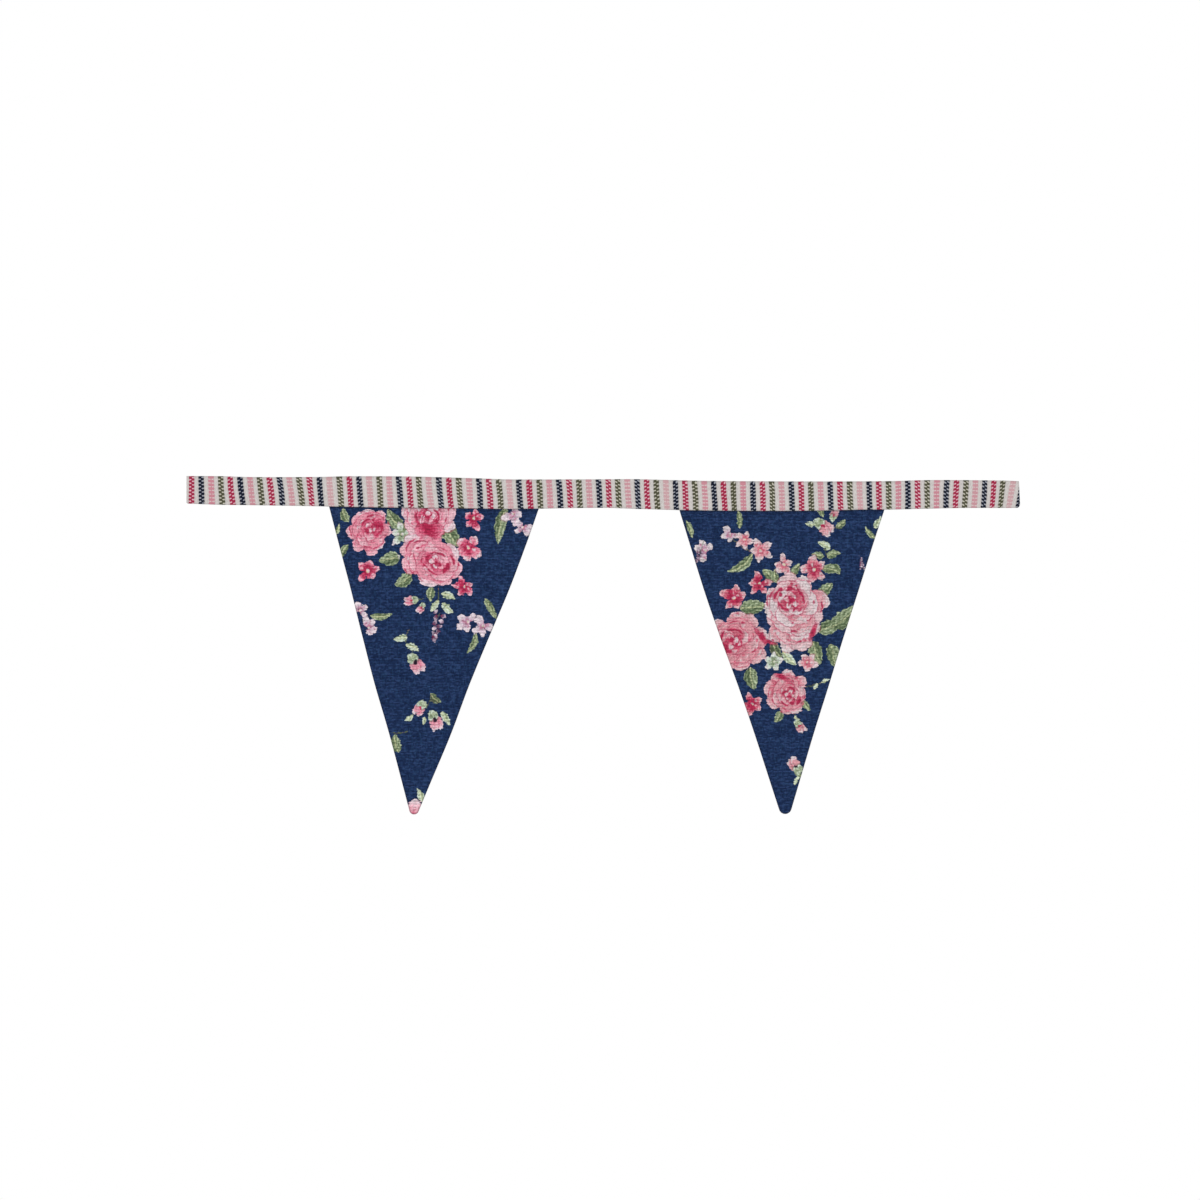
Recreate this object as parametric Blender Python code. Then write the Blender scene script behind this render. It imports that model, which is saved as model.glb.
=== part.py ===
"""Fabric bunting: two triangular pennants hanging from a striped tape folded lengthwise.

Frame: +X runs along the tape to the viewer's right, +Z is up and the front faces -Y.
The origin is on the tape's top fold, at mid-length. Sizes below are in millimetres.
"""
import math

import bpy

MM = 0.001

# Cloth
CLOTH_THICK = 1.0
CLEARANCE = 0.3  # between one piece of cloth and the next
EDGE_THICK = 0.4  # what is left of a sheet's thickness at its rolled rim

# Tape
TAPE_LEFT = -341.9
TAPE_RIGHT = 340.6
TAPE_HEM = 6.0  # width of the turned-in band along both lower edges
TAPE_HEM_RISE = 0.3
TAPE_END_TURN = 8.0  # width of the turned-in ends
TAPE_END_RISE = 0.25
TAPE_CORNER_LEFT = 0.8  # radius of the lower corners
TAPE_CORNER_RIGHT = 2.6
TAPE_END_LEAN = 0.9  # how far the right end's foot leans outwards
HEM_STEP = 0.8  # width over which a hem's step fades
TURN_STEP = 1.5  # the same, where an end's turning stops
FOOT_ROUND = 0.5  # how high the lower edges' rounding reaches
FOOT_KEEP = 0.4  # share of the hem's rise left at the very foot
TAPE_STEP = 13.0  # longest stretch between two sections
SLOT_SHUT = 0.2  # half the slot where no pennant is in it
SLOT_EASE = 12.0  # length over which the slot opens beside a pennant
FOLD_STEPS = 6  # facets round the top fold

# Height of the tape's top fold and lower edge, and its sway to the back, along its length
TAPE_COLUMNS = ("along", "top", "foot", "sway")
TAPE_ROWS = (
    (-341.9, 2.7, -19.9, 0.0),
    (-314.5, 2.6, -20.9, 0.0),
    (-290.0, 1.9, -21.2, 0.0),
    (-235.8, 1.9, -22.1, -0.7),
    (-209.5, 2.5, -22.7, -1.0),
    (-157.0, 2.3, -23.5, -0.3),
    (-104.6, 0.9, -24.0, 0.8),
    (-78.3, 0.0, -24.4, 0.8),
    (0.0, 0.0, -23.4, 0.0),
    (26.6, 0.1, -24.3, -0.4),
    (79.0, -1.2, -25.6, -0.9),
    (131.6, -1.6, -26.0, -0.4),
    (171.0, -1.7, -25.8, 0.4),
    (210.3, -1.6, -25.0, 0.9),
    (236.6, -1.4, -24.8, 0.6),
    (262.8, -0.7, -24.2, 0.2),
    (289.1, -0.6, -23.6, 0.0),
    (308.0, -0.8, -23.5, 0.0),
    (328.4, -1.0, -23.5, 0.0),
    (340.6, -1.5, -23.4, 0.0),
)

# Pennants
TOP_EDGE_DROP = 6.0  # the cut top edge, hidden in the tape's fold
TAPE_CLEAR_DROP = 27.0  # below this the cloth hangs free of the tape
SEAM_BAND = 6.0  # seam allowance inside the long sides
SEAM_RISE = 0.25
SEAM_FADE = 6.0  # drop over which the band rises below the tape
RIM_ROUND = 1.2  # how far in the rim's rounding reaches
BODY_COLUMNS = 6  # points across a row between its two seam bands
BODY_ROWS = 15
EDGE_SHARE = 0.42  # most of a row's width that one edge's rim and band may take
TIP_ANGLES = (66.0, 42.0, 22.0, 8.0)  # of the sections round the tip, from straight down

# Left and right edge of each pennant, by the drop below the origin
SIDE_COLUMNS = ("drop", "left", "right")
LEFT_SIDES = (
    (6.0, -229.3, -46.7),
    (23.6, -224.6, -52.9),
    (51.4, -217.4, -62.7),
    (90.8, -207.0, -77.5),
    (130.1, -197.3, -94.1),
    (169.5, -187.1, -110.3),
    (208.9, -175.6, -125.0),
    (248.2, -165.2, -141.5),
)
RIGHT_SIDES = (
    (6.0, 56.4, 236.6),
    (25.2, 62.2, 230.3),
    (51.4, 70.2, 221.7),
    (90.8, 82.4, 209.3),
    (130.1, 95.9, 196.8),
    (169.5, 110.4, 184.8),
    (208.9, 123.9, 172.5),
    (248.2, 136.7, 160.9),
)

# How each pennant hangs: the tip's swing to the back, and its soft upright folds
PENNANTS = {
    "left": {"sides": LEFT_SIDES, "tip_radius": 3.9, "swing": -3.5,
             "fold_depth": 2.2, "fold_pitch": 128.0, "fold_start": -205.0},
    "right": {"sides": RIGHT_SIDES, "tip_radius": 5.3, "swing": 2.8,
              "fold_depth": -2.0, "fold_pitch": 112.0, "fold_start": 88.0},
}
FULL_DROP = 275.0

# sRGB colours, 0 to 255
TAPE_COLOUR = (171, 154, 155)
PENNANT_COLOUR = (33, 52, 92)


def smooth(value):
    value = min(max(value, 0.0), 1.0)
    return value * value * (3.0 - 2.0 * value)


def read_rows(rows, columns, name, at):
    """Smooth curve through one column of a table, read by the table's first column."""
    xs = [row[0] for row in rows]
    ys = [row[columns.index(name)] for row in rows]
    last = len(rows) - 1
    i = 0
    while i < last - 1 and at > xs[i + 1]:
        i += 1
    slopes = []
    for k in (i, i + 1):
        a, b = max(k - 1, 0), min(k + 1, last)
        slopes.append((ys[b] - ys[a]) / (xs[b] - xs[a]))
    span = xs[i + 1] - xs[i]
    t = (at - xs[i]) / span
    if t < 0.0:
        return ys[i] + slopes[0] * (at - xs[i])
    if t > 1.0:
        return ys[i + 1] + slopes[1] * (at - xs[i + 1])
    h = t * t * (3.0 - 2.0 * t)
    bend = span * t * (1.0 - t)
    return ys[i] * (1.0 - h) + ys[i + 1] * h + bend * (slopes[0] * (1.0 - t) - slopes[1] * t)


def tape_value(name, x):
    return read_rows(TAPE_ROWS, TAPE_COLUMNS, name, x)


def evenly(start, end, count):
    return [start + (end - start) * i / (count - 1) for i in range(count)]


class Pennant:
    """Outline and hang of one pennant."""

    def __init__(self, facts):
        self.facts = facts
        self.sides = facts["sides"]
        self.radius = facts["tip_radius"]
        self.find_tip()

    def table_x(self, name, drop):
        """Side's place in the table, and straight on below its last row."""
        last = self.sides[-1][0]
        if drop <= last:
            return read_rows(self.sides, SIDE_COLUMNS, name, drop)
        i = SIDE_COLUMNS.index(name)
        slope = (self.sides[-1][i] - self.sides[-2][i]) / (last - self.sides[-2][0])
        return self.sides[-1][i] + slope * (drop - last)

    def find_tip(self):
        """Centre of the arc that touches both straight sides above the point where they meet."""
        above, last = self.sides[-2], self.sides[-1]
        left_slope = (last[1] - above[1]) / (last[0] - above[0])
        right_slope = (above[2] - last[2]) / (last[0] - above[0])
        self.left_angle = math.atan(left_slope)
        self.right_angle = math.atan(right_slope)
        to_apex = (last[2] - last[1]) / (left_slope + right_slope)
        apex_x = last[1] + left_slope * to_apex
        apex_drop = last[0] + to_apex
        half = 0.5 * (self.left_angle + self.right_angle)
        tilt = 0.5 * (self.right_angle - self.left_angle)
        reach = self.radius / math.sin(half)
        self.tip_x = apex_x + reach * math.sin(tilt)
        self.tip_drop = apex_drop - reach * math.cos(tilt)

    def span(self, drop):
        """Left and right edge at a drop, with the rounded tip."""
        below = drop - self.tip_drop
        half = math.sqrt(max(self.radius ** 2 - below ** 2, 0.0))
        left = self.tip_x - half
        right = self.tip_x + half
        if below < self.radius * math.sin(self.left_angle):
            left = self.table_x("left", drop)
        if below < self.radius * math.sin(self.right_angle):
            right = self.table_x("right", drop)
        return left, right

    def inset(self, x, drop):
        """Distance from the outline, inwards."""
        left, right = self.span(drop)
        room = min((x - left) * math.cos(self.left_angle), (right - x) * math.cos(self.right_angle))
        if drop > self.tip_drop:
            room = min(room, self.radius - math.hypot(x - self.tip_x, drop - self.tip_drop))
        return max(room, 0.0)

    def middle(self, x, drop):
        """Depth of the plane between the front and the back cloth."""
        fall = max(drop - TAPE_CLEAR_DROP, 0.0) / (FULL_DROP - TAPE_CLEAR_DROP)
        wave = math.sin(2.0 * math.pi * (x - self.facts["fold_start"]) / self.facts["fold_pitch"])
        hang = self.facts["swing"] * fall ** 1.5 + self.facts["fold_depth"] * fall * wave
        return tape_value("sway", x) + hang

    def thickness(self, x, drop):
        """Cloth thickness: rounded off at the rim, and raised over the seam allowance."""
        inset = self.inset(x, drop)
        out = 1.0 - min(inset / RIM_ROUND, 1.0)
        rim = EDGE_THICK + (CLOTH_THICK - EDGE_THICK) * math.sqrt(1.0 - out * out)
        band = smooth((SEAM_BAND + RIM_ROUND - inset) / RIM_ROUND)
        below_tape = smooth((drop - TAPE_CLEAR_DROP) / SEAM_FADE)
        return rim + SEAM_RISE * band * below_tape * smooth(inset / RIM_ROUND)

    def columns(self, drop):
        """Places across at which a row is cut."""
        left, right = self.span(drop)
        width = right - left
        edge = (0.0, RIM_ROUND / 3.0, RIM_ROUND, SEAM_BAND, SEAM_BAND + RIM_ROUND)
        shrink = min(1.0, EDGE_SHARE * width / edge[-1])
        from_left = [left + shrink * step for step in edge]
        from_right = [right - shrink * step for step in reversed(edge)]
        body = evenly(from_left[-1], from_right[0], BODY_COLUMNS + 2)[1:-1]
        return from_left + body + from_right

    def rows(self):
        """Drops at which the sheet is cut, down to the foot of the rounded tip."""
        hidden = [TOP_EDGE_DROP, 0.5 * (TOP_EDGE_DROP + TAPE_CLEAR_DROP), TAPE_CLEAR_DROP]
        body = evenly(TAPE_CLEAR_DROP + SEAM_FADE, self.tip_drop, BODY_ROWS)
        tip = [self.tip_drop + self.radius * math.cos(math.radians(a)) for a in TIP_ANGLES]
        return hidden + body + tip

    def sheet(self, side):
        """Rows of (outer, inner) points; side is -1 for the front cloth and 1 for the back."""
        rows = []
        for drop in self.rows():
            row = []
            for x in self.columns(drop):
                inner = self.middle(x, drop) + side * 0.5 * CLEARANCE
                outer = inner + side * self.thickness(x, drop)
                row.append(((x, outer, -drop), (x, inner, -drop)))
            rows.append(row)
        return rows


def slot_half(x, pennants):
    """Half the tape's slot: shut between the pennants, open where one is in it."""
    wide = 0.5 * CLEARANCE + CLOTH_THICK + CLEARANCE
    opened = 0.0
    for pennant in pennants:
        left, right = pennant.span(TOP_EDGE_DROP)
        beside = max(left - x, x - right, 0.0) - 2.0 * CLEARANCE
        opened = max(opened, 1.0 - smooth(beside / SLOT_EASE))
    return SLOT_SHUT + (wide - SLOT_SHUT) * opened


def tape_section(x, pennants):
    """One section of the folded strip: (outer, inner) points from the front foot round to the back foot."""
    top = tape_value("top", x)
    foot = tape_value("foot", x)
    sway = tape_value("sway", x)
    slot = slot_half(x, pennants)
    from_left = x - TAPE_LEFT
    from_right = TAPE_RIGHT - x
    for gap, radius in ((from_left, TAPE_CORNER_LEFT), (from_right, TAPE_CORNER_RIGHT)):
        out = max(radius - gap, 0.0)
        foot += radius - math.sqrt(radius ** 2 - out ** 2)
    turned = 1.0 - smooth((min(from_left, from_right) - TAPE_END_TURN) / TURN_STEP)
    thick = CLOTH_THICK + TAPE_END_RISE * turned
    lean = TAPE_END_LEAN * (1.0 - smooth(from_right / TAPE_STEP))

    def at(y, z):
        return (x + lean * (top - z) / (top - foot), sway + y, z)

    outer_radius = slot + thick
    hem_top = foot + TAPE_HEM
    leaf = [
        ((slot + thick + TAPE_HEM_RISE * FOOT_KEEP, foot), (slot, foot)),
        ((slot + thick + TAPE_HEM_RISE, foot + FOOT_ROUND), (slot, foot + FOOT_ROUND)),
        ((slot + thick + TAPE_HEM_RISE, hem_top), (slot, hem_top)),
        ((slot + thick, hem_top + HEM_STEP), (slot, hem_top + HEM_STEP)),
    ]
    front = [(at(-a[0], a[1]), at(-b[0], b[1])) for a, b in leaf]
    back = [(at(a[0], a[1]), at(b[0], b[1])) for a, b in reversed(leaf)]
    fold = []
    for i in range(FOLD_STEPS + 1):
        angle = math.pi * i / FOLD_STEPS
        y, z = -math.cos(angle), math.sin(angle)
        spring = top - outer_radius
        fold.append((at(outer_radius * y, spring + outer_radius * z), at(slot * y, spring + slot * z)))
    return front + fold + back


def tape_stations(pennants):
    """Places along the tape where its section is cut: evenly, and closer where it changes."""
    places = []
    for end, inwards, corner in ((TAPE_LEFT, 1.0, TAPE_CORNER_LEFT), (TAPE_RIGHT, -1.0, TAPE_CORNER_RIGHT)):
        for step in (0.0, 0.25 * corner, 0.6 * corner, corner, TAPE_END_TURN, TAPE_END_TURN + TURN_STEP):
            places.append(end + inwards * step)
    for pennant in pennants:
        left, right = pennant.span(TOP_EDGE_DROP)
        for step in (2.0 * CLEARANCE, 0.5 * SLOT_EASE, SLOT_EASE + 2.0 * CLEARANCE):
            places += [left - step, right + step]
    places.sort()
    full = [places[0]]
    for place in places[1:]:
        cells = max(1, math.ceil((place - full[-1]) / TAPE_STEP))
        full += evenly(full[-1], place, cells + 1)[1:]
    return full


def cloth_object(name, rows, material, turn_over):
    """Closed solid from rows of (outer, inner) points: two skins and the rim that joins them."""
    wide = len(rows[0])
    points = []
    for row in rows:
        for outer, inner in row:
            points += [outer, inner]

    def skin(row, column, side):
        return 2 * (row * wide + column) + side

    faces = []
    last_row, last_column = len(rows) - 1, wide - 1
    for r in range(last_row):
        for c in range(last_column):
            for side in (0, 1):
                quad = [skin(r, c, side), skin(r + 1, c, side),
                        skin(r + 1, c + 1, side), skin(r, c + 1, side)]
                faces.append(quad if side == 0 else quad[::-1])
    for c in range(last_column):
        faces.append([skin(0, c, 0), skin(0, c + 1, 0), skin(0, c + 1, 1), skin(0, c, 1)])
        faces.append([skin(last_row, c, 1), skin(last_row, c + 1, 1),
                      skin(last_row, c + 1, 0), skin(last_row, c, 0)])
    for r in range(last_row):
        faces.append([skin(r, 0, 1), skin(r + 1, 0, 1), skin(r + 1, 0, 0), skin(r, 0, 0)])
        faces.append([skin(r, last_column, 0), skin(r + 1, last_column, 0),
                      skin(r + 1, last_column, 1), skin(r, last_column, 1)])
    if turn_over:
        faces = [face[::-1] for face in faces]
    mesh = bpy.data.meshes.new(name)
    mesh.from_pydata([(x * MM, y * MM, z * MM) for x, y, z in points], [], faces)
    mesh.shade_smooth()
    mesh.set_sharp_from_angle(angle=math.radians(50.0))
    mesh.materials.append(material)
    piece = bpy.data.objects.new(name, mesh)
    bpy.context.scene.collection.objects.link(piece)
    return piece


def cloth_material(name, colour, roughness):
    """Matt cloth of one mean colour."""
    material = bpy.data.materials.new(name)
    material.use_nodes = True
    shader = material.node_tree.nodes["Principled BSDF"]
    linear = [((c / 255.0 + 0.055) / 1.055) ** 2.4 for c in colour]
    shader.inputs["Base Color"].default_value = (*linear, 1.0)
    shader.inputs["Roughness"].default_value = roughness
    shader.inputs["Metallic"].default_value = 0.0
    return material


def main():
    for item in list(bpy.context.scene.objects):
        bpy.data.objects.remove(item, do_unlink=True)

    pennants = {name: Pennant(facts) for name, facts in PENNANTS.items()}
    tape_cloth = cloth_material("striped_tape", TAPE_COLOUR, 0.85)
    stations = [tape_section(x, pennants.values()) for x in tape_stations(pennants.values())]
    cloth_object("tape", stations, tape_cloth, False)

    for name, pennant in pennants.items():
        for layer, side in (("front", -1.0), ("back", 1.0)):
            node = f"pennant_{name}_{layer}"
            printed_cotton = cloth_material(f"{node}_cotton", PENNANT_COLOUR, 0.8)
            cloth_object(node, pennant.sheet(side), printed_cotton, side > 0.0)


main()
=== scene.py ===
import math

import bpy
import numpy as np
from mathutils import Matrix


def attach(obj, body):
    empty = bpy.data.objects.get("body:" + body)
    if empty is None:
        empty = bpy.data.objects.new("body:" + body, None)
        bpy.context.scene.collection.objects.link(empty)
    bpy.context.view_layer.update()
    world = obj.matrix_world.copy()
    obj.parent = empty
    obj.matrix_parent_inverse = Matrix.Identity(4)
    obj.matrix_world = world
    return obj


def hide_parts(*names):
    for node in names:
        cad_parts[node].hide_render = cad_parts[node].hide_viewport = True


# Fabric bunting: two printed pennants on a folded striped tape, hanging in the X-Z plane, front to -Y
# Lengths are in millimetres until a mesh is made

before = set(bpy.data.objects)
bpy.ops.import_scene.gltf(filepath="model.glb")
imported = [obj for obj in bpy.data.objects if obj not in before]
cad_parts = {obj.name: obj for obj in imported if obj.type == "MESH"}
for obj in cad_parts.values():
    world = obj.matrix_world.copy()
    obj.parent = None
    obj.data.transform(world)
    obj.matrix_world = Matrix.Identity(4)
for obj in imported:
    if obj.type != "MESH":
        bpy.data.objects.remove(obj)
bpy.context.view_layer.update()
mm = 0.001

# The photograph's scale, and the pixel of the row's origin in its 1200 x 1200 frame
photo = {"side": 1200, "mmPerPixel": 0.82, "originColumn": 603.5, "originRow": 479.3}


# Curves through a few rows

def unit(t):
    return np.clip(t, 0.0, 1.0)


def smooth(t):
    t = unit(t)
    return t * t * (3.0 - 2.0 * t)


def rounded(t):
    # the rise of a quarter circle between 0 and 1
    return np.sqrt(1.0 - (1.0 - unit(t)) ** 2)


def tent(value, middle, reach):
    # 1 at the middle, falling to 0 at that reach on both sides
    return unit(1.0 - np.abs(value - middle) / reach)


def throughRows(rows, column, at):
    # a smooth curve through one column, read by the first column, and straight on beyond both ends
    at = np.asarray(at, float)
    xs, ys = (np.array([row[k] for row in rows], float) for k in (0, column))
    ends = np.diff(ys) / np.diff(xs)
    slopes = np.concatenate([ends[:1], (ys[2:] - ys[:-2]) / (xs[2:] - xs[:-2]), ends[-1:]])
    i = np.clip(np.searchsorted(xs, at) - 1, 0, len(xs) - 2)
    span = xs[i + 1] - xs[i]
    t = unit((at - xs[i]) / span)
    h = smooth(t)
    inside = ys[i] * (1.0 - h) + ys[i + 1] * h
    inside += span * t * (1.0 - t) * (slopes[i] * (1.0 - t) - slopes[i + 1] * t)
    return inside + np.minimum(at - xs[0], 0.0) * slopes[0] + np.maximum(at - xs[-1], 0.0) * slopes[-1]


def ripple(a, b, pitch, seed):
    # soft uneven noise, mostly from -1 to 1, made of a few crossing waves
    vary = np.random.default_rng(seed).uniform
    total = 0.0
    for _ in range(6):
        turn = vary(0.0, math.tau)
        wave = math.tau / (pitch * vary(0.7, 1.5))
        total = total + np.sin(wave * (a * math.cos(turn) + b * math.sin(turn)) + vary(0.0, 6.28))
    return total / 3.0


# Objects and materials

def place(name, data):
    # a new object in the scene
    item = bpy.data.objects.new(name, data)
    bpy.context.scene.collection.objects.link(item)
    return item


def newMaterial(name, values):
    material = bpy.data.materials.new(name)
    material.use_nodes = True
    shader = material.node_tree.nodes["Principled BSDF"]
    for socket, value in values.items():
        shader.inputs[socket].default_value = value
    return material, shader


# Studio

studio = {
    "cameraDistance": 3.15, "sensor": 36.0,
    "floorDrop": 0.80, "floorSide": 1.5, "floorColour": (0.86, 0.86, 0.86), "floorRoughness": 0.9,
    "worldColour": (1.0, 1.0, 1.0), "worldStrength": 1.0,
    # name, place, size, watts
    "lamps": (("keyLamp", (-1.3, -2.3, 1.5), 1.8, 12.0), ("fillLamp", (1.6, -2.2, 0.3), 1.6, 4.0),
              ("backLamp", (0.9, 2.5, 1.2), 1.8, 10.0)),
    "lampAim": (0.0, 0.0, -0.12),
}


def setCamera():
    data = bpy.data.cameras.new("photoCamera")
    half = 0.5 * photo["side"]
    pixel = photo["mmPerPixel"] * mm
    across = (half - photo["originColumn"]) * pixel
    up = (photo["originRow"] - half) * pixel
    data.sensor_width = studio["sensor"]
    data.lens = studio["sensor"] * studio["cameraDistance"] / (photo["side"] * pixel)
    camera = place("photoCamera", data)
    camera.location = (across, -studio["cameraDistance"], up)
    camera.rotation_euler = (math.radians(90.0), 0.0, 0.0)
    bpy.context.scene.camera = camera


def setLights():
    world = bpy.data.worlds.new("paleWorld")
    world.use_nodes = True
    backdrop = world.node_tree.nodes["Background"]
    backdrop.inputs["Color"].default_value = (*studio["worldColour"], 1.0)
    backdrop.inputs["Strength"].default_value = studio["worldStrength"]
    bpy.context.scene.world = world
    bpy.context.scene.view_settings.view_transform = "Standard"
    for name, spot, side, watts in studio["lamps"]:
        data = bpy.data.lights.new(name, "AREA")
        data.size = side
        data.energy = watts
        lamp = place(name, data)
        lamp.location = spot
        away = np.array(spot) - studio["lampAim"]
        pitch = math.acos(away[2] / np.linalg.norm(away))
        lamp.rotation_euler = (pitch, 0.0, math.atan2(away[1], away[0]) + math.radians(90.0))


def setFloor():
    half, low = 0.5 * studio["floorSide"], -studio["floorDrop"]
    mesh = bpy.data.meshes.new("studioFloor")
    mesh.from_pydata([(-half, -half, low), (half, -half, low), (half, half, low), (-half, half, low)],
                     [], [(0, 1, 2, 3)])
    floor = place("studioFloor", mesh)
    look = {"Base Color": (*studio["floorColour"], 1.0), "Roughness": studio["floorRoughness"]}
    mesh.materials.append(newMaterial("paleFloor", look)[0])


setCamera()
setLights()
setFloor()
print("studio is set")


# Nodes, in few words; a value is a number, a colour or another node's socket

def isSocket(value):
    return isinstance(value, bpy.types.NodeSocket)


def treeOf(*values):
    # the node tree of the first socket among the values
    return next(value.id_data for value in values if isSocket(value))


def addNode(tree, kind, inputs, **settings):
    # each input goes by its name or its place
    node = tree.nodes.new(kind)
    for name, value in settings.items():
        setattr(node, name, value)
    for key, value in inputs.items():
        if isSocket(value):
            tree.links.new(value, node.inputs[key])
        else:
            node.inputs[key].default_value = value
    return node


def calc(operation, *values):
    inputs = dict(enumerate(values))
    return addNode(treeOf(*values), "ShaderNodeMath", inputs, operation=operation).outputs[0]


def plus(first, second):
    return calc("ADD", first, second)


def minus(first, second):
    return calc("SUBTRACT", first, second)


def times(first, second):
    return calc("MULTIPLY", first, second)


def scaled(value, factor, offset):
    return calc("MULTIPLY_ADD", value, factor, offset)


def ramped(value, low, high, fromShare=0.0, toShare=1.0):
    # smooth step of a value between low and high
    inputs = dict(enumerate((value, low, high, fromShare, toShare)))
    return addNode(value.id_data, "ShaderNodeMapRange", inputs, interpolation_type="SMOOTHSTEP").outputs[0]


def mixed(share, first, second, blend="MIX"):
    inputs = {0: share, 6: first, 7: second}
    tree = treeOf(share, first, second)
    return addNode(tree, "ShaderNodeMix", inputs, data_type="RGBA", blend_type=blend).outputs[2]


def noiseAt(x, z, detail):
    spot = addNode(x.id_data, "ShaderNodeCombineXYZ", {0: x, 2: z}).outputs[0]
    inputs = {"Vector": spot, "Scale": 1.0, "Detail": detail, "Roughness": 0.55}
    return addNode(x.id_data, "ShaderNodeTexNoise", inputs, noise_dimensions="3D").outputs[0]


def streaks(x, z, alongX, alongZ, detail=2.0):
    # noise stretched to lengths alongX and alongZ, in millimetres
    return noiseAt(calc("DIVIDE", x, alongX), calc("DIVIDE", z, alongZ), detail)


def threads(at, pitch):
    # one soft ridge for each thread
    return scaled(calc("SINE", times(at, math.tau / pitch)), 0.5, 0.5)


def painted(tree, name, output="Fac"):
    # what an attribute of the mesh says
    return addNode(tree, "ShaderNodeAttribute", {}, attribute_name=name).outputs[output]


def clothPlace(tree):
    # X and Z of the cloth in millimetres
    spot = addNode(tree, "ShaderNodeTexCoord", {}).outputs["Object"]
    parts = addNode(tree, "ShaderNodeSeparateXYZ", {0: spot}).outputs
    return times(parts[0], 1000.0), times(parts[2], 1000.0)


def linear(colour):
    # sRGB 0 to 255 to the shader's linear colour
    c = np.asarray(colour, float) / 255.0
    return np.where(c <= 0.04045, c / 12.92, ((np.maximum(c, 0.0) + 0.055) / 1.055) ** 2.4)


def ink(colour):
    return (*(float(v) for v in linear(colour)), 1.0)


def clothMaterial(name, look):
    values = {"Roughness": look["roughness"], "Specular IOR Level": 0.08, "Sheen Weight": look["sheen"],
              "Sheen Roughness": 0.5}
    return newMaterial(name, values)


def finishCloth(shader, look, colour, tone, height):
    # the colour is dimmed by the tone, and the height gives the relief
    tree = shader.id_data
    shade = addNode(tree, "ShaderNodeCombineXYZ", {0: tone, 1: tone, 2: tone}).outputs[0]
    tree.links.new(mixed(1.0, colour, shade, "MULTIPLY"), shader.inputs["Base Color"])
    inputs = {"Strength": look["reliefStrength"], "Distance": look["relief"], "Height": height}
    tree.links.new(addNode(tree, "ShaderNodeBump", inputs).outputs[0], shader.inputs["Normal"])


# Meshes

def zipRows(first, second):
    # triangles between two rows, each given by its points' numbers and how far along each point lies
    (a, alongA), (b, alongB) = first, second
    j = np.searchsorted(alongB[1:], alongA[1:], side="left")
    i = np.searchsorted(alongA[1:], alongB[1:], side="right")
    return np.concatenate([np.stack([a[:-1], a[1:], b[j]], axis=1), np.stack([a[i], b[1:], b[:-1]], axis=1)])


def closedCloth(name, outer, inner):
    # a closed body from an outer skin and a coarser inner one
    # a skin has rows of points with their shares of the way along, and each row's share of the way down
    start, skins = 0, []
    for skin in (outer, inner):
        rows = []
        for points, share in skin["rows"]:
            rows.append((np.arange(start, start + len(points)), share))
            start += len(points)
        skins.append((rows, skin["down"]))
    outerRows, innerRows = skins[0][0], skins[1][0]
    triangles = [zipRows(*pair) for pair in zip(outerRows, outerRows[1:])]
    triangles += [zipRows(*pair)[:, ::-1] for pair in zip(innerRows, innerRows[1:])]
    triangles += [zipRows(innerRows[0], outerRows[0]), zipRows(outerRows[-1], innerRows[-1])]
    for end, pair in ((0, skins), (-1, skins[::-1])):
        triangles.append(zipRows(*((np.array([row[0][end] for row in rows]), down) for rows, down in pair)))
    triangles = np.concatenate(triangles)
    points = np.concatenate([row[0] for skin in (outer, inner) for row in skin["rows"]]) * mm
    corners = points[triangles]
    if np.sum(corners[:, 0] * np.cross(corners[:, 1], corners[:, 2])) < 0.0:
        triangles = triangles[:, ::-1]
    mesh = bpy.data.meshes.new(name)
    mesh.vertices.add(len(points))
    mesh.vertices.foreach_set("co", points.astype(np.float32).ravel())
    mesh.loops.add(3 * len(triangles))
    mesh.loops.foreach_set("vertex_index", triangles.astype(np.int32).ravel())
    mesh.polygons.add(len(triangles))
    mesh.polygons.foreach_set("loop_start", np.arange(0, 3 * len(triangles), 3, dtype=np.int32))
    mesh.update(calc_edges=True)
    mesh.validate()
    mesh.shade_smooth()
    print(name, len(triangles), "triangles")
    return place(name, mesh)


def setAttribute(piece, name, values):
    # one number or one colour for each point
    kind, part = ("FLOAT", "value") if values.ndim == 1 else ("FLOAT_COLOR", "color")
    layer = piece.data.attributes.new(name, kind, "POINT")
    layer.data.foreach_set(part, values.astype(np.float32).ravel())


# Tape: one strip folded lengthwise, the stripes running across it

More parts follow.
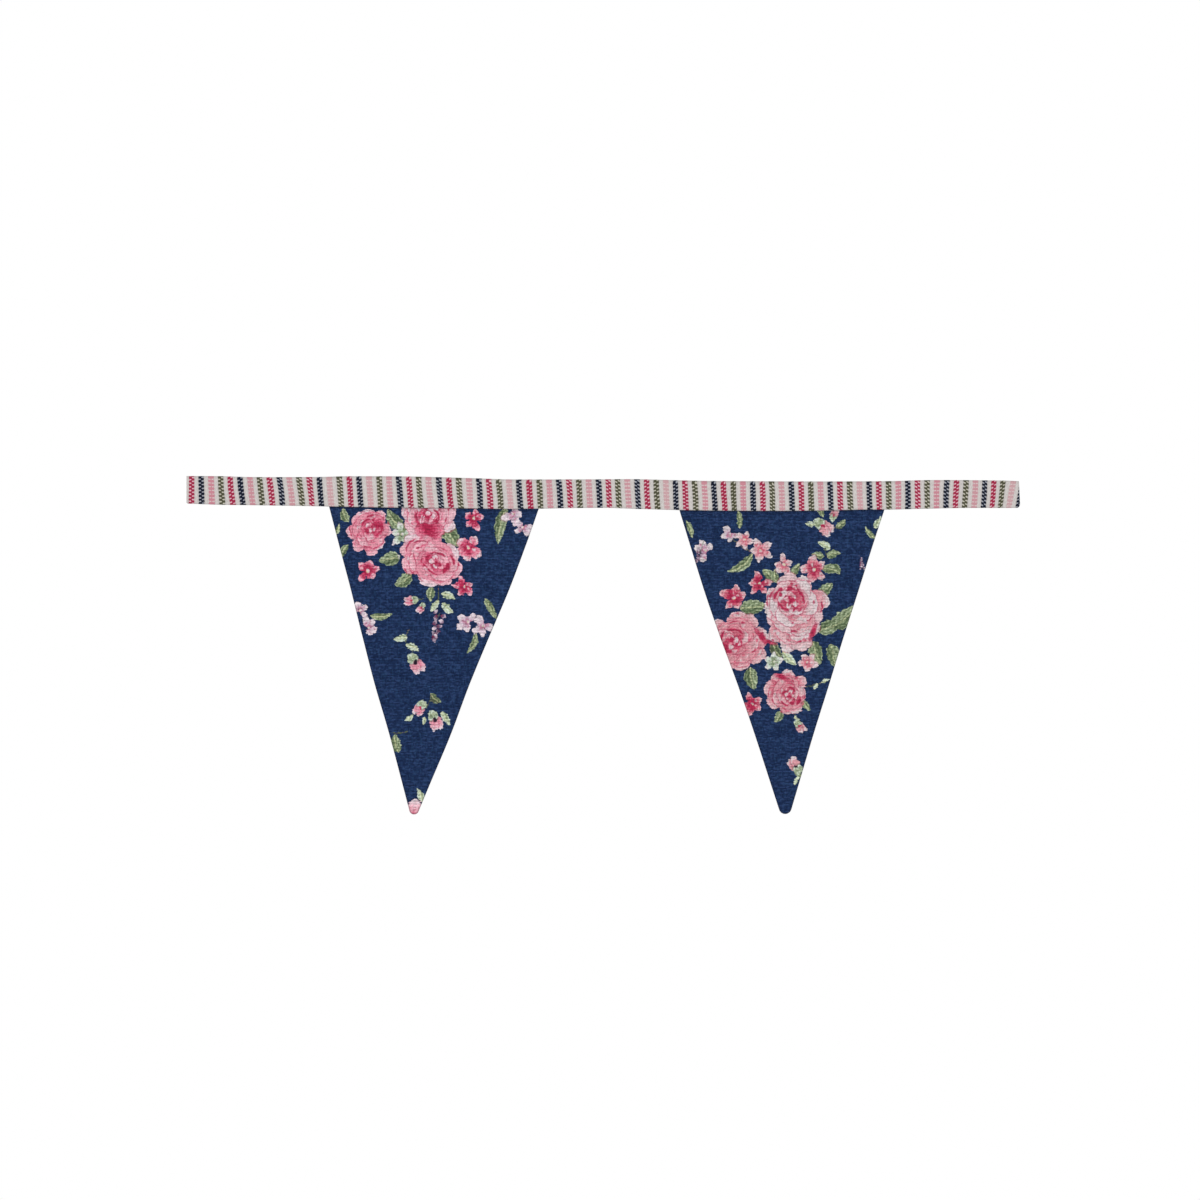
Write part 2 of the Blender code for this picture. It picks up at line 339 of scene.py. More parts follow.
tape = {
    "left": -341.9, "right": 340.6, "height": 24.5,  # the height is the folded tape's mean one
    "thick": 1.0, "hem": 6.0, "hemRise": 0.3, "hemStep": 0.8, "endTurn": 8.0, "endRise": 0.25,
    "turnStep": 1.5, "cornerLeft": 0.8, "cornerRight": 2.6, "endLean": 0.9, "leanLength": 13.0,
    "edgeRound": 0.6, "edgeShare": 0.45,  # how far in an edge is rounded, and its share of the thickness
    "slotShut": 0.2, "slotEase": 12.0, "clearance": 0.3, "uneven": 0.07, "unevenPitch": 9.0,
    # the mesh: spacing, lengths that it is reckoned over, lowest rows, and the fold's share of the way across
    "pitchAlong": 0.95, "pitchRound": 0.8, "innerPitch": 4.0, "innerRound": 3.0, "leafSpan": 18.0,
    "foldSpan": 9.0, "footSteps": (0.0, 0.12, 0.3, 0.55), "lowestStep": 0.8, "foldShare": 0.06,
    # along, top fold, lower edge, sway to the back
    "rows": (
        (-341.9, 2.7, -19.9, 0.0), (-314.5, 2.6, -20.9, 0.0), (-290.0, 1.9, -21.2, 0.0),
        (-235.8, 1.9, -22.1, -0.7), (-209.5, 2.5, -22.7, -1.0), (-157.0, 2.3, -23.5, -0.3),
        (-104.6, 0.9, -24.0, 0.8), (-78.3, 0.0, -24.4, 0.8), (0.0, 0.0, -23.4, 0.0),
        (26.6, 0.1, -24.3, -0.4), (79.0, -1.2, -25.6, -0.9), (131.6, -1.6, -26.0, -0.4),
        (171.0, -1.7, -25.8, 0.4), (210.3, -1.6, -25.0, 0.9), (236.6, -1.4, -24.8, 0.6),
        (262.8, -0.7, -24.2, 0.2), (289.1, -0.6, -23.6, 0.0), (308.0, -0.8, -23.5, 0.0),
        (328.4, -1.0, -23.5, 0.0), (340.6, -1.5, -23.4, 0.0),
    ),
    # along, how far the stripes' foot leans to the right
    "lean": ((-338, 0.0), (-322, 0.6), (-306, 2.2), (-273, 2.9), (-232, 2.3), (-200, 2.0), (-167, 2.0),
             (-135, 2.4), (-102, 1.7), (-78, 1.4), (-36, 1.7), (0, 1.5), (27, 1.5), (59, 1.1), (130, 0.9),
             (215, 0.9), (281, -0.9), (312, -1.6), (328, -2.4), (334, -4.2), (340, -5.2)),
    # along, number of the stripe there
    "stripes": ((-337.6, 0), (-256.3, 10), (-175.0, 20), (-93.2, 30), (-11.6, 40), (67.2, 50), (146.2, 60),
                (225.9, 70), (304.4, 80), (319.4, 82), (326.3, 83), (333.7, 84)),
    "stripePitch": 8.0, "stripeRise": 0.12, "stripeHalf": 2.5, "stripeEdge": 0.7,
    "stripeWander": 0.22, "wanderPitch": 30.0,
}

# Pennants: the hang of the pair of cloths, and their outline by the drop below the origin

pennants = {
    "left": {
        "tipRadius": 3.9, "swing": -3.5, "foldDepth": 2.2, "foldPitch": 128.0, "foldStart": -205.0, "seed": 3,
        # drop, left edge, right edge
        "rows": ((6.0, -229.3, -46.7), (23.6, -224.6, -52.9), (51.4, -217.4, -62.7), (90.8, -207.0, -77.5),
                 (130.1, -197.3, -94.1), (169.5, -187.1, -110.3), (208.9, -175.6, -125.0),
                 (248.2, -165.2, -141.5)),
    },
    "right": {
        "tipRadius": 5.3, "swing": 2.8, "foldDepth": -2.0, "foldPitch": 112.0, "foldStart": 88.0, "seed": 8,
        "rows": ((6.0, 56.4, 236.6), (25.2, 62.2, 230.3), (51.4, 70.2, 221.7), (90.8, 82.4, 209.3),
                 (130.1, 95.9, 196.8), (169.5, 110.4, 184.8), (208.9, 123.9, 172.5), (248.2, 136.7, 160.9)),
    },
}
cloth = {
    "thick": 1.0, "clearance": 0.3, "rim": 0.4, "rimRound": 1.2,
    "topDrop": 6.0, "tapeClear": 27.0, "fullDrop": 275.0, "ease": 0.35, "easePitch": 45.0,
    "seamBand": 6.0, "seamRise": 0.25, "seamFade": 6.0, "bandWander": 0.5, "bandPitch": 16.0,
    "pucker": 0.10, "puckerPitch": 8.0, "puckerStart": 2.5, "puckerReach": 7.0,
    # the mesh: spacing, how far down the tape hides it, and distances of the rows close to an edge
    "frontPitch": 0.52, "backPitch": 0.72, "hiddenPitch": 2.5, "innerPitch": 5.0,
    "hiddenDrop": 20.0, "edgeSteps": (0.12, 0.35, 0.7, 1.1),
}


def findTip(pennant):
    # centre of the arc that touches both straight sides above their meeting point
    above, last = pennant["rows"][-2:]
    leftSlope = (last[1] - above[1]) / (last[0] - above[0])
    rightSlope = (above[2] - last[2]) / (last[0] - above[0])
    leftAngle, rightAngle = math.atan(leftSlope), math.atan(rightSlope)
    toApex = (last[2] - last[1]) / (leftSlope + rightSlope)
    reach = pennant["tipRadius"] / math.sin(0.5 * (leftAngle + rightAngle))
    tilt = 0.5 * (rightAngle - leftAngle)
    pennant["angles"] = (leftAngle, rightAngle)
    pennant["tipX"] = last[1] + leftSlope * toApex + reach * math.sin(tilt)
    pennant["tipDrop"] = last[0] + toApex - reach * math.cos(tilt)


for pennant in pennants.values():
    findTip(pennant)


def spanAt(pennant, drop):
    # left and right edge: the table's sides, straight on below its last row, and the tip's arc
    below = drop - pennant["tipDrop"]
    half = np.sqrt(np.maximum(pennant["tipRadius"] ** 2 - below ** 2, 0.0))
    edges = []
    for column, way, angle in zip((1, 2), (-1.0, 1.0), pennant["angles"]):
        onSide = below < pennant["tipRadius"] * math.sin(angle)
        side = throughRows(pennant["rows"], column, drop)
        edges.append(np.where(onSide, side, pennant["tipX"] + way * half))
    return edges


def insetAt(pennant, x, drop):
    # distance from the nearest edge
    left, right = spanAt(pennant, drop)
    leftAngle, rightAngle = pennant["angles"]
    room = np.minimum((x - left) * math.cos(leftAngle), (right - x) * math.cos(rightAngle))
    inTip = pennant["tipRadius"] - np.hypot(x - pennant["tipX"], drop - pennant["tipDrop"])
    room = np.where(drop > pennant["tipDrop"], np.minimum(room, inTip), room)
    return np.maximum(room, 0.0)


def swayAt(x):
    return throughRows(tape["rows"], 3, x)


def middleAt(pennant, x, drop):
    # depth of the plane between the front and the back cloth
    fall = np.maximum(drop - cloth["tapeClear"], 0.0) / (cloth["fullDrop"] - cloth["tapeClear"])
    wave = np.sin(math.tau * (x - pennant["foldStart"]) / pennant["foldPitch"])
    hang = pennant["swing"] * fall ** 1.5 + pennant["foldDepth"] * fall * wave
    ease = cloth["ease"] * smooth(fall * 4.0) * ripple(x, drop, cloth["easePitch"], pennant["seed"])
    return swayAt(x) + hang + ease


def thicknessAt(pennant, x, drop, side):
    # rounded at the rim, raised over the seam allowance, and a little drawn in by the seam
    seed, rimRound = pennant["seed"], cloth["rimRound"]
    inset = insetAt(pennant, x, drop)
    rim = cloth["rim"] + (cloth["thick"] - cloth["rim"]) * rounded(inset / rimRound)
    free = smooth((drop - cloth["tapeClear"]) / cloth["seamFade"])
    bandEdge = cloth["seamBand"] + cloth["bandWander"] * ripple(x * 0.3, drop, cloth["bandPitch"], seed + 5)
    band = smooth((bandEdge + rimRound - inset) / rimRound) * smooth(inset / rimRound)
    drawn = ripple(0.2 * x, drop, cloth["puckerPitch"], seed + 11 + side)
    drawn = drawn * np.exp(-inset / cloth["puckerReach"]) * smooth(inset / cloth["puckerStart"])
    return rim + free * (cloth["seamRise"] * band + cloth["pucker"] * drawn)


def pennantRows(pennant, pitch):
    # drops of the rows, closer round the tip
    hidden = np.arange(cloth["topDrop"], cloth["hiddenDrop"], cloth["hiddenPitch"])
    start = cloth["hiddenDrop"] + 0.5
    body = np.linspace(start, pennant["tipDrop"], int((pennant["tipDrop"] - start) / pitch))
    turns = np.radians(np.linspace(88.0, 5.0, max(6, int(pennant["tipRadius"] * 1.5 / pitch))))
    tip = pennant["tipDrop"] + pennant["tipRadius"] * np.cos(turns)
    return np.concatenate([hidden, body, tip])


def pennantSkin(pennant, pitch, side, layer):
    # rows of points of the outer or the inner skin
    drops = pennantRows(pennant, pitch)
    rows = []
    for drop in drops:
        left, right = (float(v) for v in spanAt(pennant, drop))
        width = right - left
        step = pitch if drop > cloth["hiddenDrop"] else cloth["hiddenPitch"]
        share = np.linspace(0.0, 1.0, max(2, int(width / step) + 1))
        if layer == "outer":
            close = np.array(cloth["edgeSteps"]) * min(1.0, width / 8.0) / width
            margin = close[-1] * 1.3
            share = share[(share > margin) & (share < 1.0 - margin)]
            share = np.sort(np.concatenate([share, close, 1.0 - close, [0.0, 1.0]]))
        x = left + width * share
        depth = middleAt(pennant, x, drop) + side * 0.5 * cloth["clearance"]
        if layer == "outer":
            depth = depth + side * thicknessAt(pennant, x, drop, side)
        rows.append((np.stack([x, depth, np.full(len(x), -drop)], axis=1), share))
    return {"rows": rows, "down": (drops - drops[0]) / (drops[-1] - drops[0])}


# Print: inks in sRGB, and motifs painted on the cloth's own points

inks = {
    "navy": (31, 50, 88), "crimson": (168, 38, 73), "rose": (204, 88, 118), "pink": (219, 144, 161),
    "blush": (226, 182, 192), "pale": (220, 206, 212), "wine": (110, 30, 60), "leafDark": (73, 90, 64),
    "leaf": (122, 137, 104), "leafLight": (182, 194, 162), "mint": (198, 212, 198), "dusk": (104, 82, 104),
    "lilac": (198, 178, 194), "mauve": (180, 118, 142), "straw": (214, 214, 168), "bark": (78, 76, 64),
    "ink": (28, 20, 36),
}
# the tall bunch is printed in dustier pinks
palettes = {
    "wide": inks,
    "tall": {**inks, "rose": (194, 92, 112), "pink": (208, 146, 155), "blush": (212, 182, 186),
             "pale": (208, 198, 200)},
}
brush = {
    "bleed": 0.8,  # how far a motif's colour runs on under the edge that the shader cuts
    "wander": 0.32, "wanderPitch": 3.6, "grainPitch": 2.1, "fineGrainPitch": 1.5,
}
unpainted = -9.0  # the edge value of bare ground


def turnedBy(x, y, turn):
    c, s = math.cos(turn), math.sin(turn)
    return x * c + y * s, y * c - x * s


def openCanvas(x, z):
    # the panel's points, with the brush's own unevenness
    wander, pitch = brush["wander"], brush["wanderPitch"]
    coarse = 0.6 * ripple(x, z, brush["grainPitch"], 43)
    fine = 0.5 * ripple(0.3 * x, z, brush["fineGrainPitch"], 44)
    return {"x": x + wander * ripple(x, z, pitch, 41), "z": z + wander * ripple(x, z, pitch, 42),
            "grain": coarse + fine, "edge": np.full(len(x), unpainted),
            "colour": np.tile(np.array(inks["navy"], float), (len(x), 1))}


def openPatch(canvas, x, z, reach, turn, palette):
    # the points within reach of a motif's middle, as seen in the motif's own directions u and v
    dx, dz = canvas["x"] - x, canvas["z"] - z
    index = np.nonzero(np.hypot(dx, dz) < reach)[0]
    u, v = turnedBy(dx[index], dz[index], turn)
    patch = {part: canvas[part][index] for part in ("grain", "colour", "edge")}
    return {"index": index, "u": u, "v": v, "inks": palette, **patch}


def closePatch(canvas, patch):
    for part in ("colour", "edge"):
        canvas[part][patch["index"]] = patch[part]


def toned(patch, names, t):
    # through the named inks as t runs from 0 to 1
    table = np.array([patch["inks"][name] for name in names.split()], float)
    stops = np.linspace(0.0, 1.0, len(table))
    return np.stack([np.interp(t, stops, table[:, k]) for k in range(3)], axis=1)


def tint(colour, target, share):
    # moves each point's colour towards the target by its share
    colour += (np.array(target) - colour) * share[:, None]


def layOn(patch, reach, colour, shade, soft=0.2):
    # lays a shape over what is painted, with a shade beside it; reach is the distance inside its edge
    beside = unit(1.0 + reach) * (reach < 0.0) * (patch["edge"] > 0.0) * 0.6
    tint(patch["colour"], patch["inks"][shade], beside)
    share = unit(0.5 + reach / (2.0 * soft))
    share = np.where((patch["edge"] < 0.0) & (reach > -brush["bleed"]), 1.0, share)
    tint(patch["colour"], colour, share)
    patch["edge"] = np.maximum(patch["edge"], reach)


def stain(patch, reach, name, strength=0.9, soft=0.3):
    # a stroke that keeps inside what is painted
    reach = np.minimum(reach, patch["edge"] - 0.3)
    tint(patch["colour"], patch["inks"][name], unit(0.5 + reach / (2.0 * soft)) * strength)


def fromPoint(patch, at):
    du, dv = patch["u"] - at[0], patch["v"] - at[1]
    return np.hypot(du, dv), np.arctan2(dv, du)


def onCircle(middle, radius, turn):
    return middle[0] + radius * math.cos(turn), middle[1] + radius * math.sin(turn)


def petal(patch, at, size, turn, names, seed, notch=0.05, shade="crimson", point=0.0):
    # point runs from 0 for a round outer end to 1 for a sharp one
    a, b = turnedBy(patch["u"] - at[0], patch["v"] - at[1], turn)
    a, b = a / size[0], b / size[1]
    around = np.arctan2(b, a)
    wave = np.cos(3.0 * around + seed) + 0.8 * np.cos(5.0 * around + 2.0 * seed)
    wave += 0.3 * np.sin(9.0 * around - seed)
    out = np.hypot(a, b) + point * np.abs(b) * unit(a)
    reach = (1.0 + notch * wave - out) * min(size)
    t = 0.5 + 0.5 * a + 0.17 * patch["grain"] + 0.11 * np.sin(reach * 3.4 + seed)
    colour = toned(patch, names, t)
    rim = tent(reach, 0.45, 0.55) * unit(a + 0.6) * 0.6
    tint(colour, np.array(patch["inks"][names.split()[-1]]) * 1.02, rim)
    layOn(patch, reach, colour, shade)


def crescent(patch, at, radius, middle, sweep, width, name, strength=0.85):
    # a tapering curved stroke about a point
    out, around = fromPoint(patch, at)
    off = (around - middle + math.pi) % math.tau - math.pi
    taper = unit(1.0 - (2.0 * off / sweep) ** 2)
    reach = 0.5 * width * np.sqrt(taper) - np.abs(out - radius * (1.0 + 0.08 * np.sin(2.5 * off + radius)))
    stain(patch, np.where(taper > 0.0, reach, unpainted), name, strength)


def blob(patch, at, radius, name, seed, strength=0.85):
    out, around = fromPoint(patch, at)
    grow = 1.0 + 0.24 * np.sin(2.0 * around + seed) + 0.16 * np.sin(3.0 * around + 2.0 * seed)
    stain(patch, radius * grow - out, name, strength)


# a petal's tones run from its foot to its outer end
roseLooks = {
    "paleRose": {"outer": ("rose pink blush blush", "crimson pink pink pale", "rose pink blush pale"),
                 "middle": ("rose blush pale", "pink blush pale", "crimson pink blush"),
                 "inner": ("crimson rose blush", "rose blush pale"), "fleck": "pale"},
    "pinkRose": {"outer": ("rose pink pink blush", "crimson rose pink blush", "rose pink pink pale"),
                 "middle": ("rose pink pink", "rose pink blush", "crimson pink pink"),
                 "inner": ("crimson rose pink", "crimson pink blush"), "fleck": "blush"},
    "wideRose": {"outer": ("rose pink blush pale", "rose pink pink blush", "crimson rose pink blush"),
                 "middle": ("rose pink blush", "crimson pink blush", "rose pink pink"),
                 "inner": ("crimson pink blush", "crimson rose pink"), "fleck": "blush"},
}
# name, petals, how far out, length, width, notch
roseRings = (("outer", 8, 0.66, 0.36, 0.34, 0.045), ("middle", 6, 0.43, 0.34, 0.38, 0.04),
             ("inner", 5, 0.24, 0.26, 0.28, 0.04))
# turn, radius, sweep: folds on both sides of the cup and behind the heart
roseFolds = ((-1.75, 0.40, 1.5), (1.55, 0.37, 1.3), (-0.3, 0.33, 0.9), (2.9, 0.30, 0.9), (0.5, 0.50, 0.7))


def paintRose(patch, kind, size, seed):
    # the heart and the deep shades lie towards +u
    vary = np.random.default_rng(seed).uniform
    if kind == "wideRose":
        patch["v"] = 1.24 * patch["v"]
    looks = roseLooks[kind]
    heart = (0.31 * size, vary(-0.06, 0.06) * size)
    for name, count, away, along, across, notch in roseRings:
        first = vary(0.0, math.tau)
        middle = (heart[0] * (1.0 - away), heart[1] * (1.0 - away))
        for k in range(count):
            turn = first + math.tau * (k + vary(-0.22, 0.22)) / count
            at = onCircle(middle, size * away * vary(0.88, 1.05), turn)
            shape = (size * along * vary(0.86, 1.12), size * across * vary(0.86, 1.18))
            names = looks[name][k % len(looks[name])]
            petal(patch, at, shape, turn + vary(-0.3, 0.3), names, vary(0.0, 6.0), notch)
        for k in range(9):
            turn = vary(0.0, 6.28)
            radius = size * (away + vary(-0.18, 0.22))
            crescent(patch, middle, radius, turn, vary(0.3, 0.9), size * vary(0.03, 0.06),
                     ("crimson", looks["fleck"], "rose")[k % 3], 0.8)
    for turn, radius, sweep in roseFolds:
        crescent(patch, heart, radius * size, turn + vary(-0.3, 0.3), sweep, 0.085 * size, "crimson", 0.92)
    for _ in range(4):
        crescent(patch, heart, size * vary(0.26, 0.52), vary(-1.1, 1.1), vary(0.3, 0.7),
                 size * vary(0.08, 0.15), "crimson", 0.9)
    for k in range(6):
        at = onCircle(heart, size * vary(0.25, 0.8), math.pi + vary(-1.2, 1.2))
        blob(patch, at, size * vary(0.04, 0.08), looks["fleck"], k, 0.8)
    for k in range(7):
        turn = 2.4 * k + vary(-0.3, 0.3)
        at = onCircle(heart, size * (0.04 + 0.022 * k), turn)
        names = "crimson pink blush" if k % 2 else "rose blush pale"
        petal(patch, at, (0.11 * size, 0.085 * size), turn, names, vary(0.0, 6.0), 0.08)
    for k in range(5):
        at = onCircle(heart, size * 0.035 * k, 2.1 * k)
        blob(patch, at, size * vary(0.03, 0.055), "crimson", k, 0.95)
    # short touches of the brush over the outer petals
    for k in range(20):
        crescent(patch, (0.5 * heart[0], 0.5 * heart[1]), size * vary(0.5, 1.0), vary(0.0, 6.28),
                 vary(0.12, 0.32), size * vary(0.045, 0.08), ("pale", "crimson", "rose")[k % 3], 0.8)


# tones, width by length, rim
leafLooks = {
    "leaf": ("leafDark leaf leafLight", 0.27, "leafLight"),
    "slimLeaf": ("leafDark leaf leafLight", 0.15, "leafLight"),
    "freshLeaf": ("leaf leafLight mint mint", 0.21, "mint"),
    "dullLeaf": ("bark leafDark leaf", 0.27, "leafLight"),
}


def paintLeaf(patch, kind, size, seed):
    # the stalk lies at -u
    vary = np.random.default_rng(seed).uniform
    names, slim, rimName = leafLooks[kind]
    half, width = 0.5 * size, size * slim * vary(0.9, 1.1)
    bow = vary(-0.14, 0.14) * size
    a = patch["u"] / half
    v = patch["v"] - bow * (1.0 - a * a)
    profile = unit(1.0 - a * a) ** 0.75 * (1.0 - 0.30 * a) * (1.0 + 0.07 * np.sin(14.0 * a + seed))
    reach = (profile * width - np.abs(v)) * 0.9
    reach = np.where(np.abs(a) < 1.0, reach, -np.maximum((np.abs(a) - 1.0) * half, 0.05) - np.abs(v))
    lit = 1.0 if vary(0.0, 1.0) < 0.5 else -1.0
    stroke = np.sin(2.3 * v + 1.3 * np.sin(0.55 * patch["u"] + seed) + seed)
    t = 0.42 + 0.18 * lit * np.tanh(v) + 0.10 * a + 0.26 * patch["grain"] + 0.20 * stroke
    slant = np.sin((patch["u"] - 0.9 * np.abs(v)) * math.tau / max(3.2, 0.2 * size) + 2.0 * patch["grain"])
    colour = toned(patch, names, t + 0.16 * slant)
    rim = tent(reach, 0.4, 0.5) * np.clip(0.55 + 0.5 * stroke, 0.0, 0.9)
    tint(colour, patch["inks"][rimName], rim)
    rib = tent(v, 0.0, 0.7) * (a < 0.8) * unit(0.8 + 0.8 * patch["grain"])
    tint(colour, patch["inks"]["straw"], rib)
    layOn(patch, reach, colour, "leafDark")


# tones, petals, sharpness of the petals, heart
blossomLooks = {
    "star": ("crimson crimson rose pink blush", 5, 0.55, "pale"),
    "brightBlossom": ("crimson rose pink pale", 5, 0.2, "pale"),
    "pinkBlossom": ("rose pink blush pale", 5, 0.3, "pale"),
    "softBlossom": ("mauve lilac pale pale", 4, 0.0, "pale"),
    "whiteBlossom": ("leaf mint pale", 5, 0.3, "pale"),
}


def paintBlossom(patch, kind, size, seed):
    vary = np.random.default_rng(seed).uniform
    names, petals, point, heart = blossomLooks[kind]
    tones = names.split()
    middle = (0.0, 0.0)
    for k in range(petals):
        turn = math.tau * (k + vary(-0.2, 0.2)) / 5.0
        grow = vary(0.78, 1.15)
        shape = (0.42 * size * grow, 0.28 * size * vary(0.8, 1.2))
        petal(patch, onCircle(middle, 0.50 * size * grow, turn), shape, turn + vary(-0.3, 0.3), names,
              vary(0.0, 6.0), 0.06, tones[0], point)
        blob(patch, onCircle(middle, size * vary(0.25, 0.55), turn + 0.25), 0.09 * size,
             tones[0] if k % 2 else tones[-1], k)
        blob(patch, onCircle(middle, 0.70 * size * grow, turn - 0.20), 0.075 * size, heart, k + 2.0, 0.75)
    eye = f"{tones[0]} {tones[0]} {tones[1]}"
    petal(patch, middle, (0.17 * size, 0.17 * size), 0.0, eye, seed, 0.05, tones[0])
    blob(patch, (0.03 * size, 0.0), 0.10 * size, heart, seed, 0.85)
    blob(patch, onCircle(middle, 0.05 * size, seed), 0.06 * size, "straw", seed, 0.8)


# tones, half length and half width by size, turn
petalLooks = {
    "pinkBud": ("pale blush pink rose", 0.62, 0.5, 0.3),
    "deepPetal": ("crimson crimson rose pink", 0.62, 0.5, 0.3),
    "deepFold": ("rose crimson crimson rose", 0.8, 0.2, 0.0),
}


def paintPetal(patch, kind, size, seed):
    names, along, across, turn = petalLooks[kind]
    petal(patch, (0.0, 0.0), (along * size, across * size), turn, names, seed, 0.04)


def paintBud(patch, kind, size, seed):
    # the stalk lies at -u too
    for across, turn in ((0.12, 0.2), (-0.10, -0.15)):
        petal(patch, (0.14 * size, across * size), (0.48 * size, 0.25 * size), turn, "rose pink pink pale",
              seed + across, 0.03)
    for across in (-0.12, 0.10):
        petal(patch, (-0.30 * size, across * size), (0.28 * size, 0.17 * size), 3.0 * across,
              "mint leafLight leaf mint", seed + across, 0.05, "leafDark")
    eye, radius = ("ink", 0.12) if kind == "dotBud" else ("crimson", 0.10)
    blob(patch, (0.0, 0.02 * size), radius * size, eye, seed, 0.95)


def paintStem(patch, kind, size, seed):
    a = 2.0 * patch["u"] / size
    v = patch["v"] - 0.10 * size * math.sin(2.0 * seed) * (1.0 - a * a)
    reach = np.where(np.abs(a) < 1.0, 0.48 - np.abs(v), -np.abs(v) - 0.2)
    layOn(patch, reach, toned(patch, "bark leafDark dusk", 0.5 + 0.5 * patch["grain"]), "leafDark")


def paintHeather(patch, kind, size, seed):
    vary = np.random.default_rng(seed).uniform
    paintStem(patch, kind, size, seed)
    for k in range(11):
        at = (size * (k / 10.0 - 0.5), size * 0.16 * (1.0 - k / 11.0) * (1 if k % 2 else -1))
        names = "wine dusk lilac" if k % 3 else "dusk lilac pale"
        petal(patch, at, (0.10 * size, 0.07 * size), vary(0, 6), names, vary(0, 6), 0.05, "dusk")


# how each kind of motif is painted
painters = {"bud": paintBud, "dotBud": paintBud, "heather": paintHeather, "stem": paintStem}
for looks, painter in ((roseLooks, paintRose), (leafLooks, paintLeaf), (blossomLooks, paintBlossom),
                       (petalLooks, paintPetal)):
    painters.update(dict.fromkeys(looks, painter))

# bunches: kind, then for each such motif across and up from the bunch's middle, size and turn
# they are painted in this order, and a motif's place in it is its seed
bunches = {
    "wide": (
        ("leaf", (-28, 34, 20, 130), (-17, 29, 20, 70), (18, 22, 27, 300), (-33, 1, 18, 190),
         (-22, -16, 17, 215)), ("slimLeaf", (59, 28, 31, 258)), ("leaf", (-69, 37, 12, 110),
         (-69, 8, 11, 60)), ("slimLeaf", (-76, 25, 10, 70), (-40, -45, 18, 5), (50, -40, 20, 300),
         (34, -68, 18, 245)), ("stem", (5, -32, 24, 262)), ("leaf", (1, -28, 12, 262)),
        ("freshLeaf", (15, -30, 13, 338), (4, -38, 11, 238), (15, -39, 13, 318)),
        ("heather", (6, -54, 22, 258)), ("stem", (-10, -33, 10, 20)), ("bud", (-15, -33, 10, 190),
         (-7, -39, 8, 235)), ("whiteBlossom", (-23, 21, 11, 20)), ("star", (-51, -9, 12, 10)),
        ("brightBlossom", (31, 10, 14, 55)), ("star", (28, -22, 10.5, 30), (36, 34, 11, 75),
         (-2, 27, 13, 250)), ("softBlossom", (68, 38, 10, 200), (76, 27, 9, 150), (-57, -41, 9, 320),
         (-50, -55, 9, 270), (31, -51, 10, 60), (44, -54, 11, 130)), ("paleRose", (-1, 42, 23, 275)),
        ("pinkRose", (-51, 22, 19, 60)), ("wideRose", (-2, 2, 28, 335)), ("stem", (-18, -62, 12, 255),
         (-16, -73, 12, 300)), ("freshLeaf", (-24, -64, 12, 190), (-14, -72, 12, 335)),
        ("dotBud", (-12, -84, 15, 300)), ("stem", (0, -117, 10, 60)), ("dullLeaf", (5, -113, 11, 320)),
        ("bud", (-8, -121, 12, 235)), ("freshLeaf", (13, -130, 13, 305)), ("dotBud", (4, -131, 14, 290)),
        ("freshLeaf", (-17, -129, 9, 215), (-5, -132, 7, 260)), ("stem", (-24, -141, 12, 5)),
        ("leaf", (-27, -150, 15, 100)), ("freshLeaf", (-8, -193, 12, 110)),
        ("pinkBud", (-12, -204, 13, 250)), ("deepPetal", (-6, 25, 10, 200), (4, 24, 12, 340),
         (-42, 31, 8, 60)),
    ),
    "tall": (
        ("slimLeaf", (-37, 47, 25, 215), (-38, 83, 16, 95), (-79, 75, 16, 110)),
        ("stem", (-28, 60, 36, 155)), ("freshLeaf", (21, 79, 9, 175)), ("leaf", (46, 79, 10, 40),
         (29, 88, 9, 300)), ("stem", (41, 76, 12, 350), (34, 57, 14, 285)), ("freshLeaf", (32, 61, 12, 150)),
        ("leaf", (27, 53, 11, 170), (40, 53, 12, 15), (41, 41, 12, 320)), ("freshLeaf", (76, 80, 11, 60)),
        ("slimLeaf", (70, 72, 13, 130)), ("leaf", (-26, 11, 22, 8), (-14, 36, 14, 130), (9, 41, 12, 60),
         (-7, 36, 12, 100), (33, 25, 17, 42), (37, -6, 20, 20), (48, 3, 27, 42), (39, -29, 19, 280),
         (26, -27, 21, 288)), ("dullLeaf", (-6, -24, 16, 300)), ("freshLeaf", (4, -31, 16, 315)),
        ("leaf", (-27, -48, 19, 280), (-6, -79, 11, 240), (17, -70, 11, 310)), ("stem", (24, -53, 14, 15)),
        ("freshLeaf", (25, -54, 6, 60), (33, -50, 7, 20)), ("stem", (9, -80, 8, 290)),
        ("star", (-21, 30, 11, 20), (-42, 18, 13, 80), (-27, -69, 11, 40)),
        ("pinkBlossom", (-1, 45, 11, 90)), ("whiteBlossom", (-9, -34, 9, 10)),
        ("pinkBlossom", (18, -35, 10, 50)), ("softBlossom", (-45, 70, 9, 120)),
        ("pinkBlossom", (-33, 66, 9, 200), (-20, 57, 11, 250)), ("softBlossom", (-66, 57, 11, 30)),
        ("heather", (-71, 52, 10, 250)), ("bud", (31, 77, 15, 320), (40, 86, 9, 70)),
        ("leaf", (37, 41, 13, 350)), ("brightBlossom", (24, 41, 13, 175)), ("heather", (63, 46, 9, 100)),
        ("paleRose", (7, -6, 23, 90)), ("pinkRose", (-36, -17, 25, 170)), ("paleRose", (10, 10, 26, 125)),
        ("pinkRose", (0, -58, 18, 320)), ("freshLeaf", (10, -81, 6, 330)), ("bud", (12, -87, 10, 305)),
        ("leaf", (12, -125, 9, 300)), ("dotBud", (9, -120, 13, 125)), ("freshLeaf", (10, -132, 8, 60)),
        ("deepFold", (-19, -14, 9, 308), (23, -10, 8, 250), (-13, -18, 6, 340), (-2, -47, 8, 335),
         (-48, -22, 7, 80)),
    ),
}
